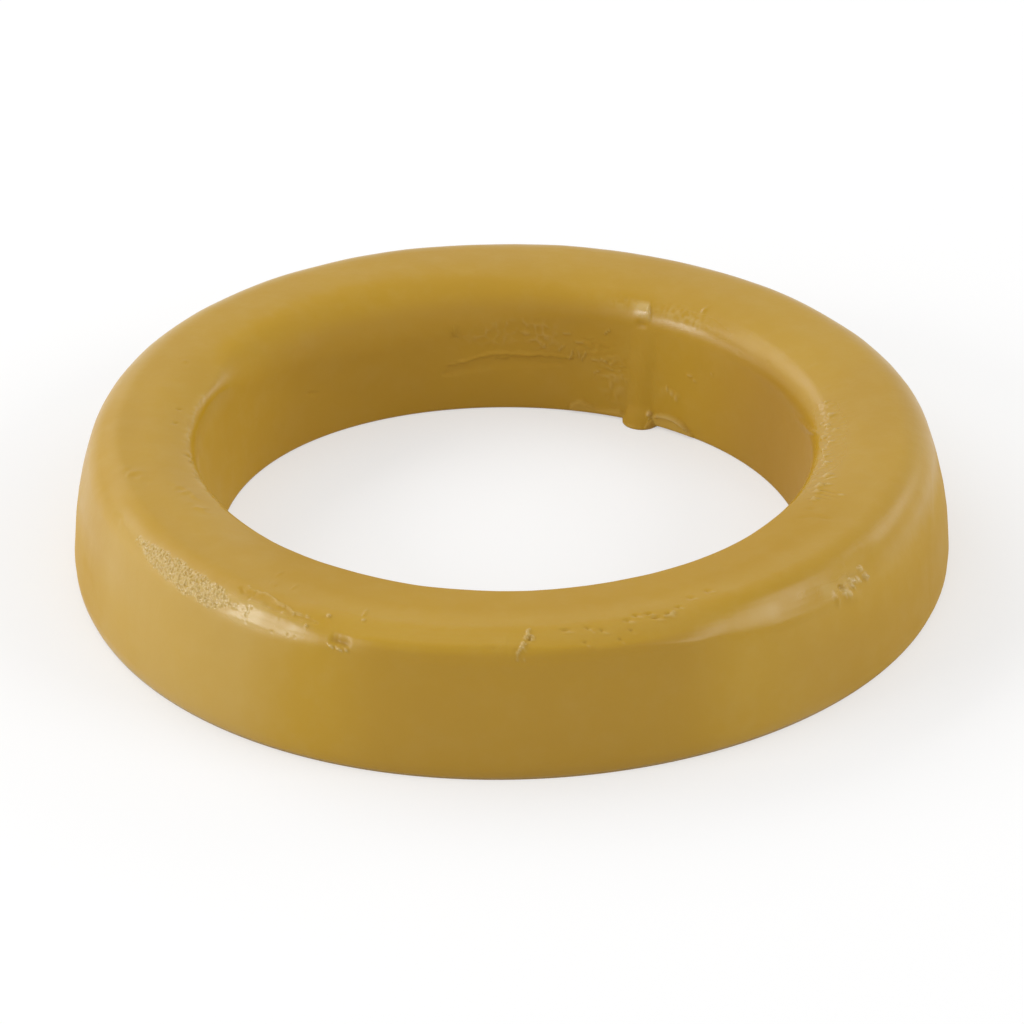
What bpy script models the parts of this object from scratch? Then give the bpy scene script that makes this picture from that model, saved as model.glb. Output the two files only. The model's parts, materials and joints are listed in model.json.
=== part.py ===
"""A toilet wax ring: one ring of poured wax, lying on its flat underside.

Metres, +Z up. The origin is the middle of the underside. +X is to the right and -Y to the front.
Angles are in degrees, anticlockwise from +X seen from above.
"""

import math

import bpy
import numpy as np

# The ring
OUTER_RADIUS = 0.0635
HEIGHT = 0.0200
BORE_RADIUS = 0.0422
RIM_FLARE = 0.0014  # how much wider the bore is at its rim than at its foot

# The section's edges
CROWN_DROP = 0.0018  # how far the top falls from its flat land to the bore's rim
LAND_WIDTH = 0.0030  # the flat land on top, just inside the shoulder
WALL_LEAN = 0.0024  # how far the outer wall leans in by the time it meets the shoulder
WALL_BULGE = 1.9  # 1 would be a straight wall
SHOULDER_DEPTH = 0.0037  # how far below the top the shoulder's round begins
WIDEST_HEIGHT = 0.0022
FOOT_TUCK = 0.0004
BORE_FOOT_ROUND = 0.0005

# How round the rim is, by angle: crisp at the left, broad and soft at the back left
RIM_ROUNDS = (
    (-150, 0.0014),
    (-90, 0.0024),
    (-25, 0.0018),
    (15, 0.0032),
    (75, 0.0034),
    (115, 0.0078),
    (145, 0.0050),
    (165, 0.0014),
)
MOST_ROUND = 0.8  # the rim's round takes up at most this much of the way from the bore to the land

# How far each poured outline is from a true circle: number of lobes, height, angle of a peak
OUTER_WAVES = ((2, 0.00066, -79), (3, 0.00036, 4), (4, 0.00014, -42))
SHIFT = ((1, 0.00034, 180),)
BORE_WAVES = ((1, 0.00039, 69), (2, 0.00057, -51), (3, 0.00037, 10), (4, 0.00029, -36))
RIM_WAVES = ((1, 0.00030, 172), (2, 0.00046, -6), (3, 0.00042, 56), (4, 0.00017, -20))

# The pour seam: a rib down the bore, with a lump over it on the rim and a drip at its foot
SEAM_ANGLE = 61.8
RIB_WIDTH = 0.0068
RIB_HEIGHT = 0.0006
LUMP_WIDTH = 0.0060
LUMP_HEIGHT = 0.0005
DRIP_WIDTH = 0.0050
DRIP_REACH = 0.0026
DRIP_HEIGHT = 0.0022
DRIP_BLUNTNESS = 2.6  # 2 would be an ellipse

# The lip of wax folded against the bore's foot beside the drip, and the smaller wedge on the other side
LIP_ANGLE = 54.0
LIP_WIDTH = 0.0080
LIP_RISE = 0.0022
WEDGE_ANGLE = 73.2
WEDGE_WIDTH = 0.0040
WEDGE_RISE = 0.0012
FLASH_THICKNESS = 0.0005
FLASH_BEVEL = 0.35  # the share of its height over which it thins out to its edge

# Handling marks: a thumb dent on the front shoulder and a chipped ledge at the right
DENT_ANGLE = -112.6
DENT_WIDTH = 0.0068
DENT_DEPTH = 0.0004
CHIP_ANGLE = -41.5
CHIP_WIDTH = 0.0112
CHIP_DEPTH = 0.0004
RIM_MIDDLE = 0.45
SHOULDER_MIDDLE = 0.55

# How finely the surface is cut. Columns crowd towards the seam, where the small forms are.
COLUMNS = 148
CROWDING = 0.6
BORE_ROWS = 9
BORE_CROWDING = 1.4  # its rows crowd towards its foot
RIM_ROWS = 7
TOP_ROWS = 5
LAND_ROWS = 1
SHOULDER_ROWS = 6
WALL_ROWS = 5
FOOT_ROWS = 2

WAX_COLOUR = (0.50, 0.31, 0.075, 1.0)
WAX_ROUGHNESS = 0.42


def blend(start, end, share):
    return start + (end - start) * share


def bump(distance, width):
    """1 in the middle, falling smoothly to 0 at half the width away."""
    return np.clip(1 - (2 * distance / width) ** 2, 0, 1) ** 2


def waves(table, turn):
    """How far an outline is from round at an angle."""
    return sum(height * np.cos(count * (turn - math.radians(peak))) for count, height, peak in table)


def around(table, turn):
    """A size that is given at some angles and changes smoothly between them."""
    angles = np.array([angle for angle, _ in table] + [table[0][0] + 360.0])
    sizes = np.array([size for _, size in table] + [table[0][1]])
    degrees = (np.degrees(turn) - angles[0]) % 360.0 + angles[0]
    index = np.clip(np.searchsorted(angles, degrees, side="right") - 1, 0, len(table) - 1)
    share = (degrees - angles[index]) / (angles[index + 1] - angles[index])
    return blend(sizes[index], sizes[index + 1], share * share * (3 - 2 * share))


def arc_round(before, corner, after, share):
    """A point of the round between two straights. It is a true arc where both ends are as far from the corner."""
    into = np.stack(np.broadcast_arrays(before[0] - corner[0], before[1] - corner[1]))
    out = np.stack(np.broadcast_arrays(after[0] - corner[0], after[1] - corner[1]))
    lengths = np.linalg.norm(into, axis=0) * np.linalg.norm(out, axis=0)
    weight = np.sqrt((1 - (into * out).sum(axis=0) / lengths) / 2)
    parts = ((1 - share) ** 2, 2 * weight * share * (1 - share), share**2)
    total = sum(parts)
    return [sum(part * point[i] for part, point in zip(parts, (before, corner, after))) / total for i in (0, 1)]


def bore_wall(size, share):
    """From the bore's foot up to where the rim's round begins."""
    height = blend(BORE_FOOT_ROUND, size["under_rim"][1], share**BORE_CROWDING)
    return size["foot"] + size["bore_slope"] * height, height


def top_height(size, radius):
    """The top falls away from the land towards the bore, ever more steeply."""
    inside = np.clip(size["land"] - radius, 0, None) / (size["land"] - size["rim"])
    return HEIGHT - CROWN_DROP * inside**2


def rim(size, share):
    return arc_round(size["under_rim"], size["rim_corner"], size["over_rim"], share)


def top(size, share):
    radius = blend(size["over_rim"][0], size["land"], share)
    return radius, top_height(size, radius)


def land(size, share):
    return blend(size["land"], size["shoulder_top"][0], share), np.full_like(share, HEIGHT)


def shoulder(size, share):
    return arc_round(size["shoulder_top"], size["shoulder_corner"], size["shoulder_foot"], share)


def outer_wall(size, share):
    height = blend(HEIGHT - SHOULDER_DEPTH, WIDEST_HEIGHT, share)
    return wall_radius(size, height), height


def wall_radius(size, height):
    climb = (height - WIDEST_HEIGHT) / (HEIGHT - SHOULDER_DEPTH - WIDEST_HEIGHT)
    return size["outer"] - WALL_LEAN * climb**WALL_BULGE


def outer_foot(size, share):
    before = (size["outer"], WIDEST_HEIGHT)
    corner = (size["outer"], 0.0)
    after = (size["outer"] - FOOT_TUCK, 0.0)
    return arc_round(before, corner, after, share)


def underside(size, share):
    return blend(size["outer"] - FOOT_TUCK, size["foot"] + BORE_FOOT_ROUND, share), np.zeros_like(share)


def bore_foot(size, share):
    before = (size["foot"] + BORE_FOOT_ROUND, 0.0)
    corner = (size["foot"], 0.0)
    after = (size["foot"] + size["bore_slope"] * BORE_FOOT_ROUND, BORE_FOOT_ROUND)
    return arc_round(before, corner, after, share)


# The section, from the bore's foot up, over the top and back along the underside
ZONES = (
    (bore_wall, BORE_ROWS),
    (rim, RIM_ROWS),
    (top, TOP_ROWS),
    (land, LAND_ROWS),
    (shoulder, SHOULDER_ROWS),
    (outer_wall, WALL_ROWS),
    (outer_foot, FOOT_ROWS),
    (underside, 1),
    (bore_foot, FOOT_ROWS),
)


def sizes_at(turn):
    """The section's landmarks at an angle, each as (radius, height) or one of the two."""
    size = {"outer": OUTER_RADIUS + waves(OUTER_WAVES + SHIFT, turn)}
    size["foot"] = BORE_RADIUS + waves(BORE_WAVES + SHIFT, turn)
    size["rim"] = BORE_RADIUS + RIM_FLARE + waves(RIM_WAVES + SHIFT, turn)
    wall_top = size["outer"] - WALL_LEAN
    slope = WALL_BULGE * WALL_LEAN / (HEIGHT - SHOULDER_DEPTH - WIDEST_HEIGHT)
    corner = wall_top - slope * SHOULDER_DEPTH
    size["shoulder_foot"] = (wall_top, HEIGHT - SHOULDER_DEPTH)
    size["shoulder_corner"] = (corner, HEIGHT)
    size["shoulder_top"] = (corner - SHOULDER_DEPTH * math.hypot(1, slope), HEIGHT)
    size["land"] = size["shoulder_top"][0] - LAND_WIDTH
    rim_round = np.minimum(around(RIM_ROUNDS, turn), MOST_ROUND * (size["land"] - size["rim"]))
    over = size["rim"] + rim_round
    over_height = top_height(size, over)
    fall = 2 * CROWN_DROP * (size["land"] - over) / (size["land"] - size["rim"]) ** 2
    size["bore_slope"] = (size["rim"] - size["foot"]) / (HEIGHT - CROWN_DROP)
    # The rim's corner is where the bore wall would meet the top's slope
    height = (over_height + fall * (size["foot"] - over)) / (1 - fall * size["bore_slope"])
    size["rim_corner"] = (size["foot"] + size["bore_slope"] * height, height)
    reach = np.hypot(over - size["rim_corner"][0], over_height - height)
    drop = reach / np.hypot(1, size["bore_slope"])
    size["under_rim"] = (size["rim_corner"][0] - size["bore_slope"] * drop, height - drop)
    size["over_rim"] = (over, over_height)
    return size


def section_grid(turn):
    """Radius and height of every point: one row for each angle, one column for each place along the section."""
    size = sizes_at(turn[:, None])
    radii, heights, levels = [], [], []
    for number, (zone, rows) in enumerate(ZONES):
        share = np.arange(rows)[None, :] / rows
        radius, height = zone(size, share)
        shape = (len(turn), rows)
        radii.append(np.broadcast_to(radius, shape))
        heights.append(np.broadcast_to(height, shape))
        levels.append(number + share[0])
    return size, np.hstack(radii), np.hstack(heights), np.concatenate(levels)


def on_bore(level):
    """The bore's wall is the first zone and its foot is the last."""
    return (level < 1) | (level >= len(ZONES) - 1)


def along(turn, angle, radius):
    """Distance round the ring from an angle, at a radius."""
    away = (turn - math.radians(angle) + math.pi) % (2 * math.pi) - math.pi
    return away * radius


def seam(turn, size, radius, height, level):
    """How far the rib, the lump and the drip stand out of the bore."""
    across = along(turn, SEAM_ANGLE, BORE_RADIUS)
    climb = np.clip(height / size["under_rim"][1], 0, 1)
    rib = RIB_HEIGHT * bump(across, RIB_WIDTH) * (1 - climb**3)
    sideways = np.abs(2 * across / DRIP_WIDTH) ** DRIP_BLUNTNESS
    drip = DRIP_REACH * np.sqrt(np.clip(1 - sideways - (height / DRIP_HEIGHT) ** 2, 0, 1))
    return np.maximum(rib, drip) * on_bore(level)


def flash(turn, height, level, angle, width, rise):
    """A thin crescent of wax folded against the bore's foot."""
    across = along(turn, angle, BORE_RADIUS)
    edge = rise * np.sqrt(np.clip(1 - (2 * across / width) ** 2, 0, 1))
    return FLASH_THICKNESS * np.clip((edge - height) / (FLASH_BEVEL * rise), 0, 1) * on_bore(level)


def spot(turn, radius, height, angle, place, width):
    """1 at a place on the surface, falling to 0 all round at half the width away."""
    away = along(turn, angle, radius) ** 2 + (radius - place[0]) ** 2 + (height - place[1]) ** 2
    return bump(np.sqrt(away), width)


def ring_points(turn):
    """Every point of the ring, one row for each angle."""
    size, radius, height, level = section_grid(turn)
    turns = turn[:, None]
    lump = LUMP_HEIGHT * spot(turns, radius, height, SEAM_ANGLE + 1, rim(size, RIM_MIDDLE), LUMP_WIDTH)
    dent = DENT_DEPTH * spot(turns, radius, height, DENT_ANGLE, shoulder(size, SHOULDER_MIDDLE), DENT_WIDTH)
    chip = CHIP_DEPTH * spot(turns, radius, height, CHIP_ANGLE, size["shoulder_foot"], CHIP_WIDTH)
    in_bore = seam(turns, size, radius, height, level)
    in_bore = in_bore + flash(turns, height, level, LIP_ANGLE, LIP_WIDTH, LIP_RISE)
    in_bore = in_bore + flash(turns, height, level, WEDGE_ANGLE, WEDGE_WIDTH, WEDGE_RISE)
    # The lump and the dents are moved slantwise, as far inwards as up or down
    radius = radius - in_bore - lump - dent - chip
    height = height + lump - dent - chip
    return np.stack([radius * np.cos(turns), radius * np.sin(turns), height], axis=2)


def turned_blank():
    """The plain turned ring, which has every face of the finished one."""
    nominal = np.zeros(1)
    _, radius, height, _ = section_grid(nominal)
    rows = radius.shape[1]
    profile = bpy.data.meshes.new("profile")
    profile.from_pydata(
        [(radius[0, row], 0, height[0, row]) for row in range(rows)],
        [(row, (row + 1) % rows) for row in range(rows)],
        [],
    )
    place = profile.attributes.new("row", "INT", "POINT")
    place.data.foreach_set("value", range(rows))
    blank = bpy.data.objects.new("blank", profile)
    bpy.context.scene.collection.objects.link(blank)
    screw = blank.modifiers.new("turn", "SCREW")
    screw.axis = "Z"
    screw.angle = 2 * math.pi
    screw.steps = COLUMNS
    screw.render_steps = COLUMNS
    screw.use_merge_vertices = True
    screw.merge_threshold = 0.00001
    bpy.context.view_layer.update()
    mesh = bpy.data.meshes.new_from_object(blank.evaluated_get(bpy.context.evaluated_depsgraph_get()))
    bpy.data.objects.remove(blank)
    return mesh


def poured_ring():
    """The turned blank with each point moved to its place on the poured ring."""
    mesh = turned_blank()
    even = np.arange(COLUMNS) * 2 * math.pi / COLUMNS
    turn = even - CROWDING * np.sin(even - math.radians(SEAM_ANGLE))
    points = ring_points(turn)
    rows = np.empty(len(mesh.vertices), np.int32)
    mesh.attributes["row"].data.foreach_get("value", rows)
    for vertex, row in zip(mesh.vertices, rows):
        column = round(math.atan2(vertex.co.y, vertex.co.x) * COLUMNS / (2 * math.pi)) % COLUMNS
        vertex.co = points[column, row]
    mesh.attributes.remove(mesh.attributes["row"])
    mesh.shade_smooth()
    return mesh


def wax():
    material = bpy.data.materials.new("wax")
    material.use_nodes = True
    shader = material.node_tree.nodes["Principled BSDF"]
    shader.inputs["Base Color"].default_value = WAX_COLOUR
    shader.inputs["Roughness"].default_value = WAX_ROUGHNESS
    shader.inputs["Metallic"].default_value = 0.0
    return material


def main():
    for thing in list(bpy.data.objects):
        bpy.data.objects.remove(thing)
    group = bpy.data.collections.new("toilet wax ring")
    bpy.context.scene.collection.children.link(group)
    mesh = poured_ring()
    mesh.name = "wax_ring"
    mesh.materials.append(wax())
    group.objects.link(bpy.data.objects.new("wax_ring", mesh))


main()
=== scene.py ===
"""A toilet wax ring on a pale floor, in soft studio light.

Metres, +Z up, and the front is -Y. Angles are in degrees, anticlockwise from +X seen from above.
The marks on the ring's skin are placed and sized in millimetres along the skin.
"""

import json
import math

import bpy
import numpy as np
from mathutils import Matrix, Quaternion, Vector, noise

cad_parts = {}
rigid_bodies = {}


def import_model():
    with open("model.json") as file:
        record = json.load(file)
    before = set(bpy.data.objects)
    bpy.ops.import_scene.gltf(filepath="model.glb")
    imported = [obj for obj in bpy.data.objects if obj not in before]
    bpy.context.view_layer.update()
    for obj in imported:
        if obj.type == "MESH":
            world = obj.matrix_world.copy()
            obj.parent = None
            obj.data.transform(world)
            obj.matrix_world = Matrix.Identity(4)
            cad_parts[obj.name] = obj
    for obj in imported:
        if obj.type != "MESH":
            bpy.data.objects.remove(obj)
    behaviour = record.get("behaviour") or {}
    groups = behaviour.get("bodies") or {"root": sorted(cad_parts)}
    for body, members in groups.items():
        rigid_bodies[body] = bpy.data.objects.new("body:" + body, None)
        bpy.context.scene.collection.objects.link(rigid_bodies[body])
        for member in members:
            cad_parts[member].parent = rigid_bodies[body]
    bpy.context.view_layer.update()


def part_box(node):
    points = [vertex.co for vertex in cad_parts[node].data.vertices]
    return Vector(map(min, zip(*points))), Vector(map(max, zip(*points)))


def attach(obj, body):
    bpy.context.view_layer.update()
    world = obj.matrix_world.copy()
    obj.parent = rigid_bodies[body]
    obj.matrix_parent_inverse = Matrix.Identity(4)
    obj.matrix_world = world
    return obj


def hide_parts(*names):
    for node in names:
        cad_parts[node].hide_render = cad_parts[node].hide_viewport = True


MM = 0.001

# The ring's form, as in the part's source, but with its left rim cut a little crisper
OUTER_RADIUS = 0.0635
HEIGHT = 0.0200
BORE_RADIUS = 0.0422
RIM_FLARE = 0.0014
CROWN_DROP = 0.0018
LAND_WIDTH = 0.0030
WALL_LEAN = 0.0024
WALL_BULGE = 1.9
SHOULDER_DEPTH = 0.0037
WIDEST_HEIGHT = 0.0022
FOOT_TUCK = 0.0004
BORE_FOOT_ROUND = 0.0005
RIM_ROUNDS = (
    (-150, 0.0014),
    (-90, 0.0024),
    (-25, 0.0018),
    (15, 0.0032),
    (75, 0.0034),
    (115, 0.0078),
    (140, 0.0054),
    (161, 0.0011),
)
MOST_ROUND = 0.8
OUTER_WAVES = ((2, 0.00066, -79), (3, 0.00036, 4), (4, 0.00014, -42))
SHIFT = ((1, 0.00034, 180),)
BORE_WAVES = ((1, 0.00039, 69), (2, 0.00057, -51), (3, 0.00037, 10), (4, 0.00029, -36))
RIM_WAVES = ((1, 0.00030, 172), (2, 0.00046, -6), (3, 0.00042, 56), (4, 0.00017, -20))
# Share of the bore wall's height against share of its rows: more rows at its foot and over its middle
BORE_ROWS = ((0, 0), (0.24, 0.17), (0.36, 0.42), (0.90, 0.90), (1, 1))
# The same for the outer wall, from its top down: most of its rows lie under the shoulder
WALL_ROWS = ((0, 0), (0.6, 0.25), (1, 1))

# How closely the skin is cut round the ring: degrees between columns, and arcs where they lie closer
PLAIN_STEP = 0.70
FINE_ARCS = (
    (-180, -153, 0.50),
    (-153, -108, 0.18),
    (-92, -86, 0.22),
    (-86, -59, 0.35),
    (-44, -36, 0.25),
    (-36, -28, 0.50),
    (-28, 10, 0.22),
    (10, 50, 0.50),
    (50, 78, 0.20),
    (78, 106, 0.30),
    (150, 180, 0.50),
)
ARC_GRAIN = 0.1
# The skin's rows, more where there is more to see. Each line gives an angle, and the rows there in the bore
# wall, rim, top, land, shoulder and outer wall
ROW_COUNTS = (
    (-178, 16, 12, 18, 5, 20, 11),
    (-158, 8, 8, 20, 6, 30, 10),
    (-110, 7, 8, 14, 6, 35, 12),
    (-60, 8, 8, 14, 8, 30, 14),
    (-40, 8, 16, 10, 5, 28, 15),
    (-15, 10, 24, 14, 4, 16, 14),
    (15, 24, 26, 12, 3, 10, 7),
    (40, 44, 18, 6, 2, 7, 5),
    (75, 50, 14, 5, 2, 6, 5),
    (110, 46, 16, 6, 2, 7, 5),
    (150, 28, 16, 16, 4, 10, 8),
)
# The rows of the outer foot, the underside and the bore's foot, by level as row_levels says
FOOT_LEVELS = (6.0, 6.5, 7.0, 7.5, 8.0, 8.5)

# The pour seam in the bore. The drip is widest and reaches furthest at its foot
RIB_ANGLE = 62.5
LUMP_ANGLE = 61.4
LIP_ANGLE = 55.0
FLAP_ANGLE = 71.5
DRIP_ANGLE = 62.5
DRIP_HEIGHT = 3.0
DRIP_REACH = 2.6
DRIP_HALF_WIDTH = 2.75
DRIP_HALF_WIDTH_ABOVE = 1.75

# The marks on the outer shoulder
FRONT_ANGLE = -88.0
FACET_ANGLE = -53.0
PEBBLED_ANGLE = -139.3
SATIN_ANGLE = -125.3
DENT_ANGLE = -112.3

# How marks are drawn: the least radius of the skin, the room that a line wavers in, and how thin its ends are
LEAST_RADIUS = 40
LINE_MARGIN = 2
LINE_END = 0.05
# How far one seed's noise lies from the next, how many spots make a pattern, and a distance beyond them all
NOISE_STEPS = (7.1, 3.7, 5.3)
CELL_COUNT = 64
FAR_SPOT = 9.0

# What the skin tells its material at each point, and the most that each value can be
# Pale paints highlights and sheen into the colour, the value for painted shade darkens it, satin and matte
# change the roughness, and pebbled the bumps
PAINTS = {"satin": 1.5, "matte": 1.0, "pale": 1.0, "deep": 1.0, "pebbled": 1.0}
# The pale colour is both the wax's random paler mottle and the colour of painted highlights and sheen, and
# the last colour is that of painted shade
WAX_TONE = (0.480, 0.278, 0.012, 1.0)
WAX_DEEP = (0.430, 0.240, 0.012, 1.0)
WAX_PALE_AND_SHEEN = (0.560, 0.385, 0.120, 1.0)
WAX_PAINTED_SHADE = (0.370, 0.200, 0.016, 1.0)
PLAIN_ROUGHNESS = (0.30, 0.38)
ROUGHNESS_CHANGES = (("satin", -0.14), ("matte", 0.36))
# Lumps in metres: clouds and mottles of colour, patches of roughness, pebbles, and the fine grain of the skin
CLOUD_SIZE = 0.030
MOTTLE_SIZE = 0.004
PATCH_SIZE = 0.006
PEBBLE_SIZE = 0.00055
PEBBLE_HEIGHT = 0.00012
GRAIN_SIZE = 0.0008
GRAIN_HEIGHT = 0.00005
GRAIN_STRENGTH = 0.35

# The floor and the world, each as it lights the ring and as it is seen
FLOOR_SIZE = 8.0
FLOOR_LIT = (0.72, 0.72, 0.72, 1)
FLOOR_SHOWN = (0.52, 0.52, 0.52, 1)
FLOOR_GLOW = 0.46
WORLD_LIT = 0.75
WORLD_SHOWN = 1.0

# Softboxes that look at the ring: name, azimuth from +X, elevation, width, height and power
LAMP_DISTANCE = 1.2
LAMPS = (
    ("left window", 203, 24, 0.56, 0.32, 3.9),
    ("back window", 141, 37, 1.20, 0.50, 4.6),
    ("left card", 182, 10, 1.38, 0.38, 0.9),
    ("low left window", 178, 10, 0.40, 0.26, 0.7),
    ("right window", -19, 29, 0.60, 0.52, 4.0),
    ("low right window", 33, 24, 0.50, 0.34, 1.4),
)

CAMERA_DISTANCE = 0.871
CAMERA_ELEVATION = 29.51
CAMERA_ROLL = -0.685
LENS = 212.56
FRAME_PIXELS = 1024
SENSOR = 36.0
# Where the picture's middle lies from the ring's origin, in pixels to the right and up
VIEW_CENTRE = (0.576, 35.21)


def blend(start, end, share):
    return start + (end - start) * share


def soft_step(distance, width):
    """From 0 to 1 over a width centred on 0."""
    share = np.clip(distance / width + 0.5, 0, 1)
    return share * share * (3 - 2 * share)


def dome(distance):
    """1 in the middle, falling smoothly to 0 at a distance of 1."""
    return np.clip(1 - distance**2, 0, 1) ** 2


def rounded(places):
    """The places of a bent line with its corners cut, twice."""
    for _ in range(2 if len(places) > 2 else 0):
        cut = [places[0]]
        for (a, b), (c, d) in zip(places, places[1:]):
            cut += [(0.75 * a + 0.25 * c, 0.75 * b + 0.25 * d), (0.25 * a + 0.75 * c, 0.25 * b + 0.75 * d)]
        places = cut + [places[-1]]
    return places


def waves(table, turn):
    return sum(height * np.cos(count * (turn - math.radians(peak))) for count, height, peak in table)


def around(table, turn):
    """A size that is given at some angles and changes smoothly between them."""
    angles = np.array([angle for angle, _ in table] + [table[0][0] + 360.0])
    sizes = np.array([size for _, size in table] + [table[0][1]])
    degrees = (np.degrees(turn) - angles[0]) % 360.0 + angles[0]
    index = np.clip(np.searchsorted(angles, degrees, side="right") - 1, 0, len(table) - 1)
    share = (degrees - angles[index]) / (angles[index + 1] - angles[index])
    return blend(sizes[index], sizes[index + 1], share * share * (3 - 2 * share))


def arc_round(before, corner, after, share):
    """A point of the round between two straights."""
    into = np.stack(np.broadcast_arrays(before[0] - corner[0], before[1] - corner[1]))
    out = np.stack(np.broadcast_arrays(after[0] - corner[0], after[1] - corner[1]))
    lengths = np.linalg.norm(into, axis=0) * np.linalg.norm(out, axis=0)
    weight = np.sqrt((1 - (into * out).sum(axis=0) / lengths) / 2)
    parts = ((1 - share) ** 2, 2 * weight * share * (1 - share), share**2)
    total = sum(parts)
    points = (before, corner, after)
    return [sum(part * point[i] for part, point in zip(parts, points)) / total for i in (0, 1)]


def bore_wall(size, share):
    rows, climb = zip(*BORE_ROWS)
    height = blend(BORE_FOOT_ROUND, size["under_rim"][1], np.interp(share, rows, climb))
    return size["foot"] + size["bore_slope"] * height, height


def top_height(size, radius):
    inside = np.clip(size["land"] - radius, 0, None) / (size["land"] - size["rim"])
    return HEIGHT - CROWN_DROP * inside**2


def rim(size, share):
    return arc_round(size["under_rim"], size["rim_corner"], size["over_rim"], share)


def top(size, share):
    radius = blend(size["over_rim"][0], size["land"], share)
    return radius, top_height(size, radius)


def land(size, share):
    return blend(size["land"], size["shoulder_top"][0], share), np.full_like(share, HEIGHT)


def shoulder(size, share):
    return arc_round(size["shoulder_top"], size["shoulder_corner"], size["shoulder_foot"], share)


def wall_radius(size, height):
    climb = (height - WIDEST_HEIGHT) / (HEIGHT - SHOULDER_DEPTH - WIDEST_HEIGHT)
    return size["outer"] - WALL_LEAN * climb**WALL_BULGE


def outer_wall(size, share):
    rows, drop = zip(*WALL_ROWS)
    height = blend(HEIGHT - SHOULDER_DEPTH, WIDEST_HEIGHT, np.interp(share, rows, drop))
    return wall_radius(size, height), height


def outer_foot(size, share):
    before = (size["outer"], WIDEST_HEIGHT)
    corner = (size["outer"], 0.0)
    after = (size["outer"] - FOOT_TUCK, 0.0)
    return arc_round(before, corner, after, share)


def underside(size, share):
    return blend(size["outer"] - FOOT_TUCK, size["foot"] + BORE_FOOT_ROUND, share), np.zeros_like(share)


def bore_foot(size, share):
    before = (size["foot"] + BORE_FOOT_ROUND, 0.0)
    corner = (size["foot"], 0.0)
    after = (size["foot"] + size["bore_slope"] * BORE_FOOT_ROUND, BORE_FOOT_ROUND)
    return arc_round(before, corner, after, share)


# The section, from the bore's foot up, over the top and back along the underside
ZONES = (bore_wall, rim, top, land, shoulder, outer_wall, outer_foot, underside, bore_foot)
# The levels at which some of the zones start
RIM_LEVEL = ZONES.index(rim)
SHOULDER_LEVEL = ZONES.index(shoulder)
FOOT_LEVEL = ZONES.index(outer_foot)
UNDERSIDE_LEVEL = ZONES.index(underside)
BORE_FOOT_LEVEL = ZONES.index(bore_foot)


def sizes_at(turn):
    """The section's landmarks at an angle, each as (radius, height) or one of the two."""
    size = {"outer": OUTER_RADIUS + waves(OUTER_WAVES + SHIFT, turn)}
    size["foot"] = BORE_RADIUS + waves(BORE_WAVES + SHIFT, turn)
    size["rim"] = BORE_RADIUS + RIM_FLARE + waves(RIM_WAVES + SHIFT, turn)
    wall_top = size["outer"] - WALL_LEAN
    slope = WALL_BULGE * WALL_LEAN / (HEIGHT - SHOULDER_DEPTH - WIDEST_HEIGHT)
    corner = wall_top - slope * SHOULDER_DEPTH
    size["shoulder_foot"] = (wall_top, HEIGHT - SHOULDER_DEPTH)
    size["shoulder_corner"] = (corner, HEIGHT)
    size["shoulder_top"] = (corner - SHOULDER_DEPTH * math.hypot(1, slope), HEIGHT)
    size["land"] = size["shoulder_top"][0] - LAND_WIDTH
    rim_round = np.minimum(around(RIM_ROUNDS, turn), MOST_ROUND * (size["land"] - size["rim"]))
    over = size["rim"] + rim_round
    over_height = top_height(size, over)
    fall = 2 * CROWN_DROP * (size["land"] - over) / (size["land"] - size["rim"]) ** 2
    size["bore_slope"] = (size["rim"] - size["foot"]) / (HEIGHT - CROWN_DROP)
    height = (over_height + fall * (size["foot"] - over)) / (1 - fall * size["bore_slope"])
    size["rim_corner"] = (size["foot"] + size["bore_slope"] * height, height)
    reach = np.hypot(over - size["rim_corner"][0], over_height - height)
    drop = reach / np.hypot(1, size["bore_slope"])
    size["under_rim"] = (size["rim_corner"][0] - size["bore_slope"] * drop, height - drop)
    size["over_rim"] = (over, over_height)
    return size


def row_levels(turn):
    """How far through the zones each row lies: 0 at the bore's foot, 1 where the rim starts, and so on."""
    tables = [[(line[0], line[1 + zone]) for line in ROW_COUNTS] for zone in range(FOOT_LEVEL)]
    counts = [around(table, turn)[:, None] for table in tables]
    rows = np.arange(sum(ROW_COUNTS[0][1:]))[None, :]
    level = np.zeros((len(turn), rows.shape[1]))
    start = 0
    for count in counts:
        level += np.clip((rows - start) / count, 0, 1)
        start = start + count
    return np.hstack([level, np.broadcast_to(FOOT_LEVELS, (len(turn), len(FOOT_LEVELS)))])


def section_grid(turn):
    """The points' radius, height and level: a row for each angle, a column for each place on the section."""
    size = sizes_at(turn[:, None])
    level = row_levels(turn)
    radius, height = np.zeros_like(level), np.zeros_like(level)
    for number, zone in enumerate(ZONES):
        zone_radius, zone_height = zone(size, np.clip(level - number, 0, 1))
        here = (level >= number) & (level < number + 1)
        radius = np.where(here, zone_radius, radius)
        height = np.where(here, zone_height, height)
    return radius, height, level


def column_turns():
    """The columns' angles, closer together where the marks are small."""
    edges = np.arange(-180, 180 + ARC_GRAIN / 2, ARC_GRAIN)
    density = np.full(len(edges) - 1, 1 / PLAIN_STEP)
    for start, end, step in FINE_ARCS:
        density[(edges[:-1] >= start) & (edges[:-1] < end)] = 1 / step
    count = np.concatenate([[0], np.cumsum(density * ARC_GRAIN)])
    number = int(count[-1])
    return np.radians(np.interp(np.arange(number) * count[-1] / number, count, edges))


def grid_normals(points):
    """Unit normals of a closed grid, pointing out of the ring."""
    along = np.roll(points, -1, axis=0) - np.roll(points, 1, axis=0)
    over = np.roll(points, -1, axis=1) - np.roll(points, 1, axis=1)
    normals = np.cross(over, along)
    return normals / np.linalg.norm(normals, axis=2, keepdims=True)

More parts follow.
